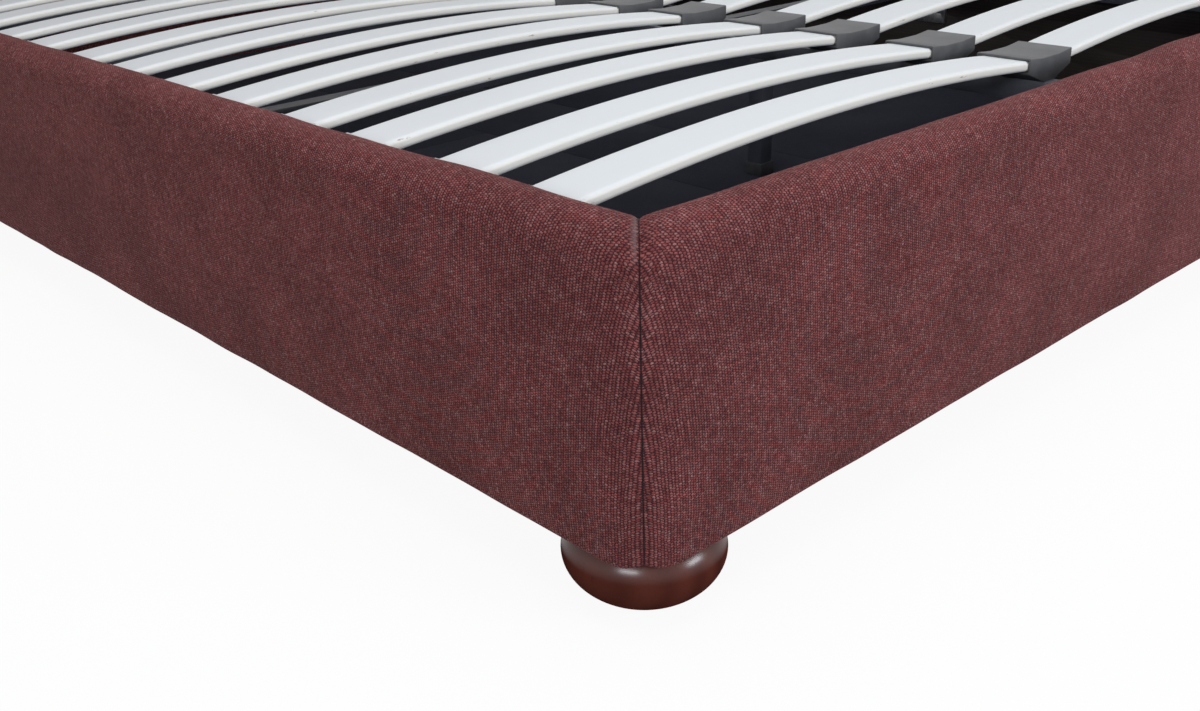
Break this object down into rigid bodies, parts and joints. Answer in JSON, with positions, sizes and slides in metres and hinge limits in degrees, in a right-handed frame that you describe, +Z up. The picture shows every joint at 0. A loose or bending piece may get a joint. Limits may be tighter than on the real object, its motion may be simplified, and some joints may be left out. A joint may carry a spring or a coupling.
{
  "type": "storage bed",
  "caption": "Upholstered bed with a gas-lift slat platform that hinges at the head end over a lined storage floor, on turned bun feet.",
  "frame": {"origin": "on the floor, below the middle of the bed's outline", "axes": "+X across the bed, +Y from foot to head, +Z up"},
  "size_m": [1.656, 2.1719, 1.08],
  "materials": {
    "cover_fabric": "coarse burgundy basket weave",
    "board_laminate": "dark laminated board",
    "softwood": "planed softwood",
    "foot_wood": "dark brown stained, satin lacquer",
    "floor_lining": "dark nonwoven cloth bonded on board",
    "slat_coat": "white coated laminated wood",
    "frame_steel": "dark powder coat",
    "zinc_steel": "zinc plated",
    "mechanism_steel": "black powder coat",
    "rod_chrome": "polished rod",
    "holder_plastic": "moulded, matt",
    "cap_plastic": "dark grey moulded",
    "white_plastic": "white moulded",
    "black_plastic": "black moulded",
    "rubber": "black rubber",
    "webbing": "woven black webbing"
  },
  "bodies": {
    "base": {"barrel_nuts": "zinc_steel", "bracket_bolts": "zinc_steel", "bun_foot_foot_end_left": "foot_wood", "bun_foot_foot_end_right": "foot_wood", "bun_foot_head_end_left": "foot_wood", "bun_foot_head_end_right": "foot_wood", "corner_blocks": "softwood", "corner_brackets": "zinc_steel", "end_floor_cleats": "softwood", "floor_beams": "softwood", "floor_centre_strip": "floor_lining", "floor_cross_battens": "softwood", "floor_panel_left_foot": "floor_lining", "floor_panel_left_head": "floor_lining", "floor_panel_right_foot": "floor_lining", "floor_panel_right_head": "floor_lining", "floor_support_legs": "black_plastic", "foot_glides": "black_plastic", "foot_rail_board": "board_laminate", "foot_rail_cover": "cover_fabric", "hanger_bolts": "zinc_steel", "headboard_bolts": "zinc_steel", "headboard_cover": "cover_fabric", "headboard_panel": "board_laminate", "left_fixed_plate": "mechanism_steel", "left_rail_board": "board_laminate", "left_rail_cover": "cover_fabric", "pivot_nuts": "zinc_steel", "pivot_studs": "zinc_steel", "rest_brackets": "zinc_steel", "rest_pads": "rubber", "right_fixed_plate": "mechanism_steel", "right_rail_board": "board_laminate", "right_rail_cover": "cover_fabric", "side_floor_cleats": "softwood", "strut_brackets": "mechanism_steel", "strut_studs": "zinc_steel"},
    "slat_platform": {"arm_bolts": "zinc_steel", "centre_leg": "frame_steel", "centre_leg_cap": "cap_plastic", "centre_slat_holders": "holder_plastic", "left_lift_arm": "mechanism_steel", "platform_centre_tube": "frame_steel", "platform_cross_tubes": "frame_steel", "platform_foot_tube": "frame_steel", "platform_head_tube": "frame_steel", "platform_side_tube_left": "frame_steel", "platform_side_tube_right": "frame_steel", "pull_strap": "webbing", "right_lift_arm": "mechanism_steel", "slat_end_caps": "white_plastic", "slats_left": "slat_coat", "slats_right": "slat_coat", "tube_end_plugs": "black_plastic"},
    "left_cylinder": {"left_strut_cylinder": "mechanism_steel"},
    "left_rod": {"left_rod_end": "zinc_steel", "left_strut_rod": "rod_chrome"},
    "right_cylinder": {"right_strut_cylinder": "mechanism_steel"},
    "right_rod": {"right_rod_end": "zinc_steel", "right_strut_rod": "rod_chrome"}
  },
  "joints": [
    {"name": "platform_lift", "type": "hinge", "parent": "base", "child": "slat_platform", "pos_m": [0, 0.795, 0.225], "axis": [-1, 0, 0], "range_deg": [0, 35]},
    {"name": "left_strut_swing", "type": "hinge", "parent": "base", "child": "left_cylinder", "pos_m": [-0.743, 0.235, 0.145], "axis": [1, 0, 0], "range_deg": [0, 4]},
    {"name": "left_rod_slide", "type": "slide", "parent": "left_cylinder", "child": "left_rod", "axis": [0, 0.9661, 0.2583], "range_m": [0, 0.0556]},
    {"name": "right_strut_swing", "type": "hinge", "parent": "base", "child": "right_cylinder", "pos_m": [0.743, 0.235, 0.145], "axis": [1, 0, 0], "range_deg": [0, 4]},
    {"name": "right_rod_slide", "type": "slide", "parent": "right_cylinder", "child": "right_rod", "axis": [0, 0.9661, 0.2583], "range_m": [0, 0.0556]}
  ],
  "couplings": [
    {"joint": "left_strut_swing", "follows": "platform_lift", "ratio": 0.1136},
    {"joint": "left_rod_slide", "follows": "platform_lift", "m_per_rad": 0.090666},
    {"joint": "right_strut_swing", "follows": "platform_lift", "ratio": 0.1136},
    {"joint": "right_rod_slide", "follows": "platform_lift", "m_per_rad": 0.090666}
  ]
}
